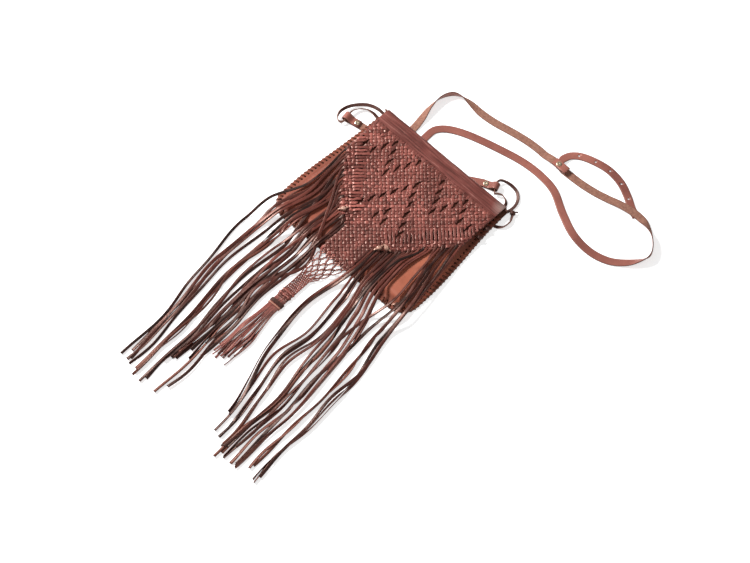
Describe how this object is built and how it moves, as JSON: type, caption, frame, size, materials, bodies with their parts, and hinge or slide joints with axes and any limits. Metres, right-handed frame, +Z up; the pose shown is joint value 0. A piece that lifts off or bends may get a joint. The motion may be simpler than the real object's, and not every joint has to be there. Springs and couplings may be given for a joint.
{
  "type": "crossbody bag",
  "caption": "Small flat leather crossbody bag lying on its back: plaited flap ending in long fringe and a bound tail, whip-stitched pouch, riveted adjustable strap.",
  "frame": {"origin": "middle of the pouch's back, on the surface that the bag lies on", "axes": "+X to the right of the bag's front, +Y from the fringe towards the fold of the flap, +Z up out of the front"},
  "size_m": [0.4836, 0.725, 0.0189],
  "materials": {
    "back_panel": "sueded leather",
    "front_panel": "smooth semi-gloss leather",
    "flap": "smooth semi-gloss leather",
    "tail_binding": "dark waxed thong",
    "tail_ring": "smooth thong",
    "knot_left": "shiny light thong",
    "knot_right_upper": "shiny light thong",
    "knot_right_lower": "shiny light thong",
    "knot_corner": "light thong",
    "knot_edge_upper": "dark thong",
    "knot_edge_lower": "dark thong",
    "knot_tie": "dark thong",
    "strap_long": "smooth outside, sueded inside",
    "strap_short": "smooth outside, sueded inside",
    "loop_left": "dark smooth strip",
    "loop_right": "dark smooth strip",
    "loop_tie": "dark smooth strip",
    "rivet_left_cap": "antique, slightly worn",
    "rivet_left_washer": "antique, slightly worn",
    "rivet_right_cap": "antique, slightly worn",
    "rivet_right_washer": "antique, slightly worn",
    "rivet_adjuster_cap": "antique, slightly worn",
    "rivet_adjuster_washer": "antique, slightly worn"
  },
  "bodies": {
    "bag": {"back_panel": "back_panel", "front_panel": "front_panel", "knot_corner": "knot_corner", "knot_edge_upper": "knot_edge_upper", "knot_edge_lower": "knot_edge_lower", "knot_tie": "knot_tie", "strap_long": "strap_long", "strap_short": "strap_short", "loop_left": "loop_left", "loop_right": "loop_right", "loop_tie": "loop_tie", "rivet_left_cap": "rivet_left_cap", "rivet_left_washer": "rivet_left_washer", "rivet_right_cap": "rivet_right_cap", "rivet_right_washer": "rivet_right_washer", "rivet_adjuster_cap": "rivet_adjuster_cap", "rivet_adjuster_washer": "rivet_adjuster_washer"},
    "flap": {"flap": "flap", "tail_binding": "tail_binding", "tail_ring": "tail_ring", "knot_left": "knot_left", "knot_right_upper": "knot_right_upper", "knot_right_lower": "knot_right_lower"}
  },
  "joints": [
    {"name": "flap_hinge", "type": "hinge", "parent": "bag", "child": "flap", "pos_m": [0, 0.111, 0.0065], "axis": [-1, 0, 0], "range_deg": [0, 125]}
  ]
}
